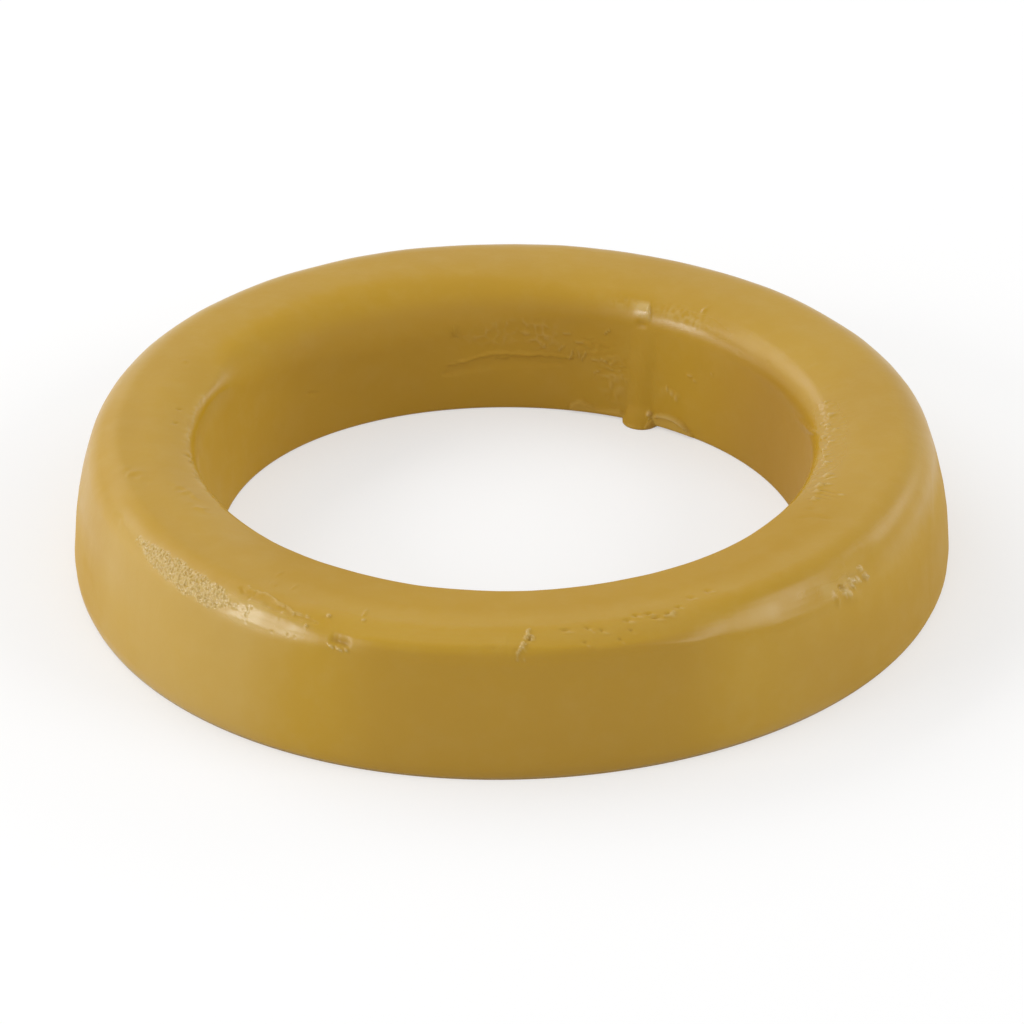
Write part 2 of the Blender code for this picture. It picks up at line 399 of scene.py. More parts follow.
def patchy(lumps, middle, contrast, most=1.0):
    """A share that follows smooth noise."""
    return np.clip(middle + contrast * lumps, 0, most)


def veins(lumps):
    """Thin raised lines where smooth noise goes through 0."""
    return np.clip(1 - 3 * np.abs(lumps), -0.3, 1)


class Skin:
    """The ring's plain surface as a grid, and the relief that is laid on it, all in millimetres."""

    def __init__(self):
        self.turn = column_turns()
        radius, height, self.level = section_grid(self.turn)
        turns = self.turn[:, None]
        self.radius = radius / MM
        self.height = height / MM
        places = [self.radius * np.cos(turns), self.radius * np.sin(turns), self.height]
        self.points = np.stack(places, axis=2)
        self.normals = grid_normals(self.points)
        step = np.hypot(np.diff(self.radius, axis=1), np.diff(self.height, axis=1))
        # How far along the section a place is: up from the bore's foot, or out from the land's edge
        self.up = np.hstack([np.zeros((len(self.turn), 1)), np.cumsum(step, axis=1)])
        shoulder_starts = np.argmax(self.level >= SHOULDER_LEVEL, axis=1)[:, None]
        self.out = self.up - np.take_along_axis(self.up, shoulder_starts, axis=1)
        self.on_top_side = self.level < FOOT_LEVEL + 0.5
        self.relief = np.zeros_like(self.radius)
        self.paint = {name: np.zeros_like(self.radius) for name in PAINTS}
        # Unevenness that several marks share
        self.waver = (self.lumps(1.3, seed=1), self.lumps(1.3, seed=2))
        self.grain = self.lumps(0.9, seed=3)
        self.smears = self.lumps(3.0, seed=13)
        self.ripples = veins(self.lumps(1.6, seed=4))
        self.streaks = veins(self.lumps(0.75, seed=9, stretch=0.45))

    def mark(self, shape, relief=0.0, **paints):
        """Lays a shape on the skin: raised, or cut where its relief is negative, and painted."""
        self.relief += relief * shape
        for name, share in paints.items():
            self.paint[name] += share * shape

    def across(self, angle):
        """Distance along the ring from an angle."""
        away = (self.turn[:, None] - math.radians(angle) + math.pi) % (2 * math.pi) - math.pi
        return away * self.radius

    def stretch(self, angle, half_length, fade):
        """1 along the ring on both sides of an angle, fading to 0."""
        return soft_step(half_length - np.abs(self.across(angle)), fade)

    def lumps(self, size, seed, stretch=1.0):
        """Smooth noise from about -1 to 1, with lumps of a size. A stretch below 1 draws them out level."""
        shift = Vector([seed * step for step in NOISE_STEPS])
        flat = self.points.reshape(-1, 3) * np.array((stretch, stretch, 1.0)) / size
        values = [noise.noise(Vector(point) + shift) for point in flat]
        return np.array(values).reshape(self.radius.shape)

    def near(self, first, last, margin):
        """The columns between two angles, with a margin in millimetres on either side."""
        middle = math.radians((first + last) / 2)
        reach = abs(math.radians(last - first)) / 2 + margin / LEAST_RADIUS
        return np.abs((self.turn - middle + math.pi) % (2 * math.pi) - math.pi) < reach

    def oval(self, way, angle, place, length, width, tilt=0.0):
        """An oval mark: 1 in its middle and 0 at its edge. Tilt turns its length out of the ring's run."""
        near = self.near(angle, angle, length + width)
        x = self.across(angle)[near]
        y = way[near] - place
        c, s = math.cos(math.radians(tilt)), math.sin(math.radians(tilt))
        shape = np.zeros_like(way)
        shape[near] = dome(np.hypot(2 * (c * x + s * y) / length, 2 * (c * y - s * x) / width))
        return shape * self.on_top_side

    def line(self, way, places, width, waver=0.0):
        """A bent line through places: 1 on it, 0 at half its width to the side, and thin at its ends."""
        angles = [angle for angle, _ in places]
        near = self.near(min(angles), max(angles), width + LINE_MARGIN)
        radius = self.radius[near]
        x = self.across(angles[0])[near] + waver * self.waver[0][near]
        y = way[near] + waver * self.waver[1][near]
        spots = [(np.radians(angle - angles[0]) * radius, place) for angle, place in rounded(places)]
        lengths = [np.mean(np.hypot(b[0] - a[0], b[1] - a[1])) for a, b in zip(spots, spots[1:])]
        done = 0.0
        shape = np.zeros_like(way)
        for a, b, length in zip(spots, spots[1:], lengths):
            run = (b[0] - a[0], b[1] - a[1])
            share = ((x - a[0]) * run[0] + (y - a[1]) * run[1]) / (run[0] ** 2 + run[1] ** 2)
            share = np.clip(share, 0, 1)
            away = np.hypot(x - a[0] - share * run[0], y - a[1] - share * run[1])
            travelled = (done + share * length) / sum(lengths)
            taper = np.sqrt(np.clip(4 * travelled * (1 - travelled), LINE_END, 1))
            shape[near] = np.maximum(shape[near], dome(2 * away / (width * taper)))
            done += length
        return shape * self.on_top_side

    def cells(self, way, radius, size, seed):
        """Distance to the nearest and to the second nearest of many scattered spots, in spot spacings."""
        x, y = np.broadcast_arrays(self.turn[:, None] * radius / size, way / size)
        spots = np.random.default_rng(seed).random((CELL_COUNT, CELL_COUNT, 2))
        cell_x, cell_y = np.floor(x).astype(int), np.floor(y).astype(int)
        nearest = np.full(x.shape, FAR_SPOT)
        second = np.full(x.shape, FAR_SPOT)
        for i in (-1, 0, 1):
            for j in (-1, 0, 1):
                spot = spots[(cell_x + i) % CELL_COUNT, (cell_y + j) % CELL_COUNT]
                away = np.hypot(cell_x + i + spot[..., 0] - x, cell_y + j + spot[..., 1] - y)
                second = np.minimum(second, np.maximum(nearest, away))
                nearest = np.minimum(nearest, away)
        return nearest, second


def pour_seam(skin):
    """The rib down the bore, the lump on the rim over it, and the lip and flaps at its foot."""
    on_bore = skin.level < RIM_LEVEL + 0.2
    climb = np.clip(skin.up / 15, 0, 1)
    skin.mark(dome(skin.across(RIB_ANGLE) / 2.4) * (1 - climb**4) * on_bore, relief=0.27)
    # The lump ends in a steep edge at its right, which leans with the rim
    from_edge = skin.across(LUMP_ANGLE) - 0.36 * (skin.up - 16.5)
    lump = soft_step(from_edge, 0.40) * dome(np.clip(from_edge / 3.4, 0, None))
    lump *= dome((skin.up - 17.5) / 1.8) * skin.on_top_side
    skin.mark(lump, relief=0.30)
    skin.mark(skin.line(skin.up, ((61.7, 16.5), (62.0, 17.4), (62.5, 18.4)), 0.6), relief=0.16)
    skin.mark(skin.oval(skin.up, 63.1, 15.3, 2.7, 1.1), relief=-0.32)
    # The lump's top carries a painted highlight and a satin skin
    skin.mark(np.clip(2 * lump, 0, 1), pale=1, satin=1)
    # The lip is a thin sheet of wax that lies over the wall's foot, with a crisp upper edge. The sheet, its
    # edge, the flaps and the bead carry painted highlights.
    beside_lip = skin.across(LIP_ANGLE)
    lip_top = np.interp(-beside_lip, (-3.6, -2.6, -0.4, 2.0, 3.8), (0.5, 1.6, 1.9, 1.5, 0.2))
    over_lip = (np.abs(beside_lip) < 3.8) * (skin.level < RIM_LEVEL)
    skin.mark(soft_step(lip_top - skin.up, 0.32) * over_lip, relief=0.42, pale=0.25)
    lip = skin.line(skin.up, ((60.2, 0.8), (58.6, 1.5), (55.4, 1.8), (53.0, 1.4), (50.4, 0.5)), 0.75)
    skin.mark(lip, relief=0.36, pale=0.5)
    beside_flap = skin.across(FLAP_ANGLE)
    flap_top = np.interp(
        -beside_flap,
        (-4.6, -3.5, -2.6, -0.5, 0.3, 3.3, 4.2),
        (0.5, 1.3, 1.5, 0.6, 0.45, 0.8, 0.2),
    )
    over_flap = (np.abs(beside_flap) < 4.4) * (skin.level < RIM_LEVEL)
    flap = soft_step(flap_top - skin.up + 0.2 * skin.waver[1], 0.40) * over_flap
    skin.mark(flap, relief=0.38, pale=0.2)
    bead = skin.oval(skin.up, 60.3, 1.5, 1.2, 1.1)
    skin.mark(bead, relief=0.50, pale=1.5, satin=1)


def drip(skin, radius):
    """The drip spreads at the bore's foot like a small tongue, with a flat underside."""
    climb = np.clip(skin.height / DRIP_HEIGHT, 0, 1)
    half_width = blend(DRIP_HALF_WIDTH, DRIP_HALF_WIDTH_ABOVE, climb)
    sideways = np.abs(skin.across(DRIP_ANGLE) / half_width) ** 2.2
    reach = DRIP_REACH * np.sqrt(np.clip(1 - sideways, 0, 1)) * (1 - climb) ** 2
    at_foot = (skin.level < RIM_LEVEL) | (skin.level >= BORE_FOOT_LEVEL)
    return radius - np.where(at_foot, reach, 0)


def bore_marks(skin):
    """The ridge half way up the bore, the crackle over it, and small scars."""
    ridge = (
        (76.0, 8.4),
        (78.6, 8.3),
        (81.2, 8.4),
        (85.4, 8.5),
        (88.0, 8.7),
        (90.0, 8.5),
        (93.5, 8.8),
        (98.2, 7.7),
        (103.0, 7.0),
    )
    under_ridge = ((79.0, 7.2), (86.0, 7.2), (92.0, 7.2), (98.2, 6.4), (103.5, 5.8))
    skin.mark(skin.line(skin.up, ridge, 0.8, 0.35), relief=0.26)
    skin.mark(skin.line(skin.up, ((92.6, 7.9), (91.2, 8.1), (90.2, 7.8)), 0.7, 0.2), relief=0.20)
    skin.mark(skin.line(skin.up, under_ridge, 2.6, 0.3), relief=-0.12)
    worms = (
        ((80.2, 9.2), (79.0, 10.4)),
        ((77.9, 8.0), (77.0, 9.8)),
        ((76.2, 9.6), (75.8, 8.2)),
        ((75.3, 8.0), (74.6, 9.6)),
        ((73.6, 8.3), (71.2, 8.5)),
        ((71.4, 8.8), (70.0, 8.2)),
        ((76.6, 10.9), (74.6, 11.3)),
        ((70.9, 12.9), (69.7, 13.6)),
        ((83.4, 9.6), (82.6, 10.6)),
        ((73.0, 6.4), (71.0, 6.8)),
        ((79.5, 12.0), (77.5, 12.4)),
    )
    # The worms carry painted highlights
    for places in worms:
        skin.mark(skin.line(skin.up, places, 0.42, 0.3), relief=0.24, pale=0.5)
    star_angle, star_height = 100.9, 12.6
    for lean in (-0.9, 0.0, 0.9):
        places = ((star_angle - lean, star_height - 0.9), (star_angle + lean, star_height + 0.9))
        skin.mark(skin.line(skin.up, places, 0.6), relief=0.16)
    # Crackle: a net of fine ridges between the cells of an oval patch, with a painted highlight on the ridges
    nearest, second = skin.cells(skin.up, radius=43.5, size=1.5, seed=5)
    patch = skin.oval(skin.up, 90.0, 12.3, 20.0, 5.4, -6) + skin.oval(skin.up, 83.0, 11.2, 7.0, 5.0)
    net = np.clip(1 - (second - nearest) / 0.32, 0, 1)
    net = net * np.clip(1.3 * patch, 0, 1) * patchy(skin.grain, 0.5, 1.2)
    skin.mark(net, relief=0.20, pale=0.6)
    # The rough patch left of the rib, and the short marks right of it, both with painted highlights
    rough = skin.oval(skin.up, 68.6, 5.8, 6.5, 10.5) + 0.5 * skin.oval(skin.up, 55.8, 5.6, 7.0, 2.8)
    rough *= skin.streaks
    skin.mark(rough, relief=0.24)
    skin.mark(np.clip(rough, 0, 1), pale=0.4)
    skin.mark(skin.streaks * skin.oval(skin.up, 73.0, 10.5, 8.0, 5.0), relief=0.14)
    short_marks = (
        (55.6, 5.7, 1.8, 25),
        (54.2, 5.2, 1.5, -35),
        (57.8, 5.2, 1.0, 10),
        (56.6, 6.2, 1.2, 60),
        (51.4, 9.4, 1.6, 0),
        (50.2, 8.9, 0.9, 30),
        (46.0, 11.0, 0.8, 20),
    )
    for angle, place, length, tilt in short_marks:
        skin.mark(skin.oval(skin.up, angle, place, length, 0.48, tilt), relief=0.22, pale=0.5)
    for angle, place, depth in ((132.6, 7.8, 0.22), (131.2, 7.4, 0.16), (142.6, 3.2, 0.14)):
        skin.mark(skin.oval(skin.up, angle, place, 1.5, 0.8, 10), relief=-depth)


def rim_marks(skin):
    """Along the bore's rim: flakes at the left, scratches and crumbs at the right, and small nicks."""
    small_ridge = ((18.0, 13.2), (15.4, 14.0), (11.0, 14.8), (7.4, 15.4), (3.5, 16.6), (0.4, 17.5))
    skin.mark(skin.line(skin.up, small_ridge, 1.3, 0.3), relief=0.15)
    # Crumbs stand close together on the round of the rim at the right, with painted highlights on them
    crumbly = skin.stretch(-9.0, 14.5, 6.0) * dome((skin.level - RIM_LEVEL - 0.9) / 0.75)
    crumble = np.clip(3.2 * (skin.lumps(0.45, seed=12) - 0.12), 0, 1) * crumbly * skin.on_top_side
    skin.mark(crumble, relief=0.07, pale=0.3)
    skin.mark(crumbly, satin=1)
    crumbs = (
        (9.4, 20.1, 0.6),
        (4.4, 20.1, 1.0),
        (2.6, 18.6, 0.7),
        (0.8, 19.5, 0.9),
        (-1.2, 20.4, 0.6),
        (-3.0, 18.7, 1.0),
        (-5.6, 19.7, 0.7),
        (-8.0, 18.9, 0.7),
        (-10.6, 19.3, 0.6),
        (-13.4, 19.8, 0.9),
        (-16.0, 20.2, 0.6),
        (-18.2, 21.0, 1.0),
        (-19.4, 21.7, 0.8),
        (-22.0, 20.8, 1.2),
        (-24.2, 21.1, 0.9),
        (-21.8, 21.9, 0.7),
        (-27.2, 21.7, 1.0),
        (-25.0, 24.9, 0.6),
    )
    for angle, place, size in crumbs:
        crumb = skin.oval(skin.up, angle, place, 1.2 * size, size, 30)
        skin.mark(crumb, relief=0.55 * size, pale=2, satin=1.5)
    scratches = (
        (((-23.6, 22.0), (-24.6, 24.4)), 0.7, 0.0),
        (((-24.6, 21.4), (-25.6, 24.0)), 0.7, 0.0),
        (((-26.0, 21.8), (-26.8, 23.8)), 0.7, 0.0),
        (((-34.6, 22.3), (-33.0, 24.0), (-32.6, 26.4)), 0.9, 0.2),
        (((-30.4, 22.0), (-31.0, 23.6)), 0.9, 0.2),
    )
    for places, width, waver in scratches:
        skin.mark(skin.line(skin.up, places, width, waver), relief=-0.18)
    # The crisp rim at the left is a little ragged, and a painted highlight runs along its edge
    ragged = skin.stretch(-176.0, 17.0, 4.0) * dome((skin.level - RIM_LEVEL - 0.75) / 0.4)
    skin.mark(ragged * patchy(skin.grain, 0.2, 1.0), relief=0.18)
    skin.mark(ragged * patchy(skin.grain, 0.5, 1.5), pale=0.5)
    for angle, place in ((-173.6, 18.9), (-166.8, 18.5), (-165.0, 18.7), (-171.4, 18.4)):
        skin.mark(skin.oval(skin.up, angle, place, 0.8, 1.6, 15), relief=-0.26)
    for angle, place in ((39.2, 16.2), (30.9, 17.5), (67.2, 18.6)):
        skin.mark(skin.oval(skin.up, angle, place, 0.7, 0.6), relief=-0.14)
    # The rim beside the seam has a satin skin, and a painted sheen makes it paler on both sides of the lump
    over_rim = dome((skin.up - 17.8) / 2.6)
    skin.mark(dome(skin.across(52.0) / 13) * over_rim, satin=1)
    sheen_by_lump = dome(skin.across(54.0) / 8) * over_rim + 0.6 * skin.oval(skin.up, 66.8, 17.8, 8.0, 3.4)
    sheen_by_lump *= patchy(skin.lumps(0.6, seed=16), 0.5, 1.2)
    skin.mark(sheen_by_lump, relief=0.03, pale=0.6)


def top_marks(skin):
    """Faint rubs, streaks, specks, a row of pits and a scar on the top."""
    rubs = ((-158.5, -6.9, 9.0, 3.4), (-166.4, -1.0, 9.0, 4.0), (-153.0, -7.0, 6.0, 2.6))
    for angle, place, length, width in rubs:
        skin.mark(skin.ripples * skin.oval(skin.out, angle, place, length, width, -20), relief=0.18)
    streaks = (
        ((-127.2, -4.8), (-127.2, -3.8)),
        ((-123.0, -3.0), (-122.9, -2.2)),
        ((-126.8, -1.4), (-125.4, -1.2)),
        ((-110.6, -1.6), (-110.6, 0.2)),
        ((-106.6, -4.4), (-106.1, -2.0), (-106.4, 0.0)),
        ((-97.2, -3.2), (-96.9, -1.8)),
        ((-99.4, -2.6), (-99.2, -1.8)),
    )
    for places in streaks:
        skin.mark(skin.line(skin.out, places, 0.8, 0.2), relief=0.13)
    specks = (
        (21.8, -7.7, 0.7),
        (14.0, -7.9, 0.7),
        (31.8, -8.8, 0.6),
        (45.8, -8.5, 0.7),
        (57.2, -8.9, 0.7),
        (51.6, -9.8, 1.0),
        (149.4, -1.7, 0.6),
        (156.0, -4.7, 0.6),
    )
    for angle, place, size in specks:
        skin.mark(skin.oval(skin.out, angle, place, size, size), relief=0.20)
    for angle, place in ((171.0, -7.8), (176.0, -7.8), (-92.6, 4.1)):
        skin.mark(skin.oval(skin.out, angle, place, 0.8, 0.8), relief=-0.22)
    pits = (
        (-80.0, 1.6, 1.6, 0.9, 40),
        (-78.2, 2.1, 1.2, 0.8, 20),
        (-80.8, 3.9, 0.9, 0.8, 0),
        (-76.2, 3.9, 0.7, 0.7, 0),
        (-74.4, 1.1, 1.8, 1.1, 0),
        (-73.0, 0.4, 1.4, 1.0, 30),
        (-71.2, 0.5, 1.8, 0.8, 0),
        (-70.6, 1.5, 2.4, 0.8, 10),
        (-68.6, 1.4, 1.2, 1.0, 20),
        (-66.8, 0.5, 1.0, 0.9, 0),
        (-64.0, -0.9, 1.8, 0.8, 20),
        (-61.0, -1.3, 1.4, 0.8, 20),
        (-74.4, 2.8, 0.8, 0.6, 0),
        (-83.0, 1.5, 2.4, 0.6, 0),
    )
    for angle, place, length, width, tilt in pits:
        skin.mark(skin.oval(skin.out, angle, place, 0.8 * length, width, tilt), relief=-0.30)
        # Each pit's burr carries a painted highlight
        burr = skin.oval(skin.out, angle + 0.5, place + 0.6, 0.9 * length, 0.6 * width, tilt)
        skin.mark(burr, relief=0.14, pale=0.5)
    # A short raised line with a painted highlight
    skin.mark(skin.line(skin.out, ((-69.2, 1.7), (-68.2, 1.7), (-67.6, 1.1)), 0.7), relief=0.34, pale=1)
    # The scar: three strokes with painted highlights, and a pit between them
    scar = ((-87.6, 0.6), (-88.1, 1.8), (-88.5, 2.5), (-88.4, 3.5), (-89.0, 4.2), (-89.4, 4.7), (-89.5, 5.7))
    strokes = 0.42 * skin.line(skin.out, scar, 0.6, 0.4)
    strokes += 0.34 * skin.line(skin.out, ((-88.1, 1.8), (-87.2, 2.4), (-87.7, 3.1), (-88.4, 3.6)), 0.5, 0.3)
    strokes += 0.26 * skin.line(skin.out, ((-88.4, 4.0), (-88.7, 5.0), (-88.6, 5.7)), 0.5, 0.4)
    strokes *= patchy(skin.lumps(0.5, seed=14), 0.55, 2.0, most=1.3)
    skin.mark(strokes, relief=1, pale=4, satin=2.5)
    skin.mark(skin.oval(skin.out, -87.8, 2.6, 0.8, 1.1), relief=-0.30)


def front_edge(skin):
    """At the front the shoulder is fuller, and meets the wall in an edge that runs down to the right."""
    edge = np.interp(
        skin.across(FRONT_ANGLE),
        (-10.0, -2.0, 3.2, 8.6, 16.0, 24.0),
        (3.9, 3.8, 4.3, 4.6, 5.1, 6.2),
    )
    fuller = np.interp(
        skin.out - edge,
        (-3.3, -2.4, -1.5, -0.8, -0.3, 0.1, 0.6, 1.6, 4.0, 9.0),
        (0, -0.02, 0.04, 0.20, 0.40, 0.52, 0.44, 0.30, 0.12, 0),
    )
    skin.mark(fuller * skin.stretch(FRONT_ANGLE, 24.0, 9.0) * (skin.level < FOOT_LEVEL), relief=1)
    # A faint painted sheen lies over the edge, and painted shade darkens the wall under it
    at_front = skin.stretch(FRONT_ANGLE, 25, 14)
    skin.mark(at_front * dome((skin.out - 2.4) / 2.4), pale=0.12)
    skin.mark(at_front * soft_step(skin.out - 4.8, 1.2) * (skin.level < UNDERSIDE_LEVEL), deep=0.45)


def right_facet(skin):
    """To the right of the front the shoulder is cut back to a slanting facet, with a satin skin and a painted
    sheen.
    """
    along = skin.across(FACET_ANGLE)
    share = soft_step(7.0 + along, 15.0) * soft_step(19.0 - along, 7.0) * (skin.level < FOOT_LEVEL)
    edge = np.interp(along, (-20.0, -13.0, -4.3, 5.4, 10.8), (5.2, 6.3, 7.2, 8.0, 8.2))
    below_edge = skin.out - edge
    cut = np.interp(
        below_edge,
        (-5.8, -4.8, -3.8, -2.8, -2.0, -1.2, 0.0, 0.8, 6.0),
        (0, -0.10, -0.28, -0.38, -0.36, -0.24, 0.02, -0.08, 0),
    )
    skin.mark(cut * share, relief=1)
    on_facet = dome((below_edge + 1.9) / 2.3) * share * dome((along - 7) / 15)
    skin.mark(on_facet * patchy(skin.smears, 0.8, 1.4), satin=0.9)
    # A painted sheen on the facet
    skin.mark(on_facet * patchy(skin.smears, 0.5, 1.8), pale=0.5)
    # A faint painted sheen makes the wall under the facet paler
    sheen_under_facet = skin.stretch(-45, 20, 10) * soft_step(skin.out - 8.0, 2)
    skin.mark(sheen_under_facet * (skin.level < UNDERSIDE_LEVEL), pale=0.06)


def pebbled_stretch(skin):
    """The pebbles on the shoulder at the front left, with painted highlights on their tops and painted shade
    between them, and the duller skin and painted sheen round them.
    """
    along = skin.across(PEBBLED_ANGLE)
    middle = np.interp(along, (-10, 10), (3.8, 4.5))
    half_width = np.interp(along, (-11.0, -7.0, 0.0, 8.0, 10.6), (0.3, 1.2, 1.7, 1.6, 0.2))
    band = soft_step(half_width - np.abs(skin.out - middle) + 0.5 * skin.grain, 0.6)
    band *= np.abs(along) < 12
    nearest, second = skin.cells(skin.out, radius=60.0, size=0.54, seed=11)
    tops = 1 - (1 - np.clip((second - nearest) / 0.45, 0, 1)) ** 2
    skin.mark(band * (tops - 0.5), relief=0.22)
    # Painted highlights on the pebbles' tops, and painted shade in the gaps between them
    skin.mark(band * (1.2 * tops - 0.1), pale=1)
    skin.mark(band * (1 - tops), deep=0.15)
    skin.mark(band, satin=1.5, pebbled=1)
    skin.mark(dome((skin.out - 0.8) / 2.2) * skin.stretch(-140.0, 17, 16), matte=0.45)
    skin.mark(dome((skin.out - 1.8) / 2.6) * skin.stretch(-168.0, 22, 14), matte=0.4)
    # A painted sheen makes the shoulder and wall paler below the pebbles
    skin.mark(soft_step(skin.out - 3.0, 3.0) * skin.stretch(-140.0, 20.0, 14.0), pale=0.35)


def satin_stretch(skin):
    """Right of the pebbles the skin is satin and a little proud, between a wavy ridge and the wall, with a
    painted highlight over it.
    """
    satin = dome(skin.across(SATIN_ANGLE) / 12) * dome((skin.out - 4.7) / 2.6)
    skin.mark(np.clip(2 * satin, 0, 1.2) * patchy(skin.smears, 0.9, 1.2), satin=1)
    # A painted highlight over the satin stretch
    skin.mark(np.clip(1.2 * satin, 0, 0.6) * patchy(skin.smears, 0.8, 1.2), pale=1)
    proud = np.interp(
        skin.out,
        (1.2, 2.1, 3.1, 4.1, 5.0, 5.9, 6.6, 12.0),
        (0, -0.04, 0.16, -0.01, -0.13, -0.09, -0.12, 0),
    )
    skin.mark(proud * np.clip(2 * satin, 0, 1), relief=1)
    ridge = ((-129.0, 0.7), (-127.0, 1.1), (-124.4, 1.1), (-123.2, 1.5), (-120.0, 2.3), (-117.6, 2.5))
    # The wavy ridge carries a painted highlight
    skin.mark(skin.line(skin.out, ridge, 0.5, 0.4), relief=0.20, pale=0.6)
    under_ridge = ((-129.5, 1.8), (-125.0, 2.1), (-120.5, 2.9), (-116.0, 3.1))
    skin.mark(skin.line(skin.out, under_ridge, 1.8, 0.3), relief=-0.16)
    crack = ((-126.6, 3.7), (-126.2, 4.4), (-126.5, 5.0), (-126.0, 6.0))
    skin.mark(skin.line(skin.out, crack, 0.30, 0.15), relief=-0.13)
    nicks = (
        (-127.2, 4.2, 0.4),
        (-126.0, 3.8, 0.4),
        (-126.9, 5.5, 0.4),
        (-119.6, 5.8, 0.5),
        (-118.6, 5.8, 0.4),
        (-122.0, 5.9, 0.4),
    )
    for angle, place, size in nicks:
        skin.mark(skin.oval(skin.out, angle, place, size, size), relief=-0.14)
    # The grains are raised and carry painted glints
    grains = ((-115.0, 1.6, 0.9), (-117.4, 3.9, 0.7), (-119.8, 2.8, 0.5), (-110.2, 1.0, 0.7))
    for angle, place, size in grains:
        grain = skin.oval(skin.out, angle, place, 0.8 * size, 0.8 * size)
        skin.mark(grain, relief=0.60 * size, pale=1.5, satin=1.5)


def dent(skin):
    """A scoop that deepens towards the shoulder's edge and ends in a steep rise, with chips under it. Painted
    shade darkens the scoop, and the chips carry painted highlights.
    """
    beside = skin.across(DENT_ANGLE)
    scoop = np.interp(skin.out - 0.08 * beside, (3.7, 4.3, 4.9, 5.1, 5.45), (0, 0.11, 0.26, 0.24, 0))
    scoop *= soft_step(1.3 - np.abs(beside), 1.0)
    grooves = 0.14 * np.cos(7.5 * beside) * soft_step(-beside, 1.6)
    skin.mark(scoop * (1 - grooves), relief=-1)
    # Painted shade in the scoop
    skin.mark(scoop, deep=2.5)
    chips = (
        ((-113.8, 5.7), (-113.0, 6.0)),
        ((-112.8, 6.0), (-111.8, 6.1)),
        ((-111.4, 6.0), (-111.0, 5.7)),
    )
    for places in chips:
        skin.mark(skin.line(skin.out, places, 0.5, 0.15), relief=0.28, pale=2.5, satin=2.5)


def ledge(skin):
    """Crumbs of wax pushed up over a shallow chip on the shoulder at the right, with painted highlights on
    the crumbs.
    """
    skin.mark(skin.oval(skin.out, -40.2, 6.4, 5.4, 2.2, 12), relief=-0.28)
    skin.mark(skin.oval(skin.out, -40.6, 8.9, 5.0, 2.6, 4), relief=0.24)
    crumbs = (
        (-41.4, 8.0, 2.2, 1.5, 30),
        (-40.2, 7.3, 1.6, 0.9, 50),
        (-39.4, 6.8, 1.8, 0.9, 40),
        (-38.5, 7.2, 1.0, 0.9, 0),
        (-37.4, 6.2, 1.8, 1.3, 60),
        (-37.0, 7.4, 1.2, 1.2, 0),
    )
    rugged = patchy(skin.lumps(0.8, seed=15), 0.6, 1.4, most=1.4)
    for angle, place, length, width, tilt in crumbs:
        crumb = skin.oval(skin.out, angle, place, length, width, tilt) * rugged
        skin.mark(crumb, relief=0.85, pale=3, satin=2)
    skin.mark(skin.oval(skin.out, -42.0, 6.9, 1.8, 1.1, 35), relief=-0.60)
    skin.mark(skin.oval(skin.out, -43.4, 8.0, 1.0, 3.0), relief=0.30)


def wall_marks(skin):
    """Ripples on the shoulder at the left, and a soft swelling that runs down the wall at the right."""
    skin.mark(skin.ripples * skin.oval(skin.out, -156.5, 4.0, 8.0, 3.0), relief=0.12)
    swelling = ((-9.4, 6.2), (-13.0, 8.0), (-16.0, 10.0), (-19.2, 14.5), (-20.6, 19.0))
    skin.mark(skin.line(skin.out, swelling, 2.6), relief=0.05)


def broad_tones(skin):
    """Where the skin is duller over a wide stretch, and where painted shade and painted sheen lie in its
    colour.
    """
    skin.mark(soft_step(14.5 - skin.up, 4.0) * skin.on_top_side, matte=1)
    past_rim = skin.level > RIM_LEVEL + 0.8
    # The top's inner slope at the front is duller, and painted shade darkens it
    skin.mark(soft_step(-3.0 - skin.out, 4.0) * past_rim * skin.stretch(-80, 46, 20), matte=0.8, deep=0.28)
    # Painted shade darkens the lower part of the outer wall at the right
    low_right = soft_step(skin.out - 12.0, 8.0) * skin.stretch(-20, 34, 18)
    skin.mark(low_right * skin.on_top_side, deep=0.30)
    low_left = soft_step(skin.out - 13.0, 6.0) * skin.stretch(-168, 26, 14)
    skin.mark(low_left * skin.on_top_side, matte=0.6)
    # The right wall's lower part is dull, and so is the broad soft rim at the back left
    skin.mark(soft_step(skin.out - 8.5, 5.0) * skin.stretch(-10.0, 38, 18), matte=0.85)
    skin.mark(soft_step(-7.0 - skin.out, 3.0) * skin.stretch(130.0, 18, 10), matte=1)
    # A painted sheen makes the outer shoulder paler at the back left
    skin.mark(dome((skin.out - 3.2) / 4.0) * skin.stretch(128.0, 36, 36), pale=0.35)
    # Painted shade darkens the bore's wall at the right and at the back
    in_bore = soft_step(17.0 - skin.up, 3.5) * skin.on_top_side
    deeper = np.clip(skin.stretch(0.0, 30, 24) + 0.45 * skin.stretch(105.0, 28, 20), 0, 1)
    skin.mark(in_bore * deeper, deep=1)


def unevenness(skin):
    """The whole skin is a little uneven, as poured wax is."""
    uneven = 0.11 * skin.lumps(16, seed=6) + 0.05 * skin.lumps(6, seed=7) + 0.014 * skin.lumps(2.2, seed=8)
    skin.mark((uneven - 0.08) * (skin.level < FOOT_LEVEL), relief=1)


MARKS = (
    pour_seam,
    bore_marks,
    rim_marks,
    top_marks,
    front_edge,
    right_facet,
    pebbled_stretch,
    satin_stretch,
    dent,
    ledge,
    wall_marks,
    broad_tones,
    unevenness,
)


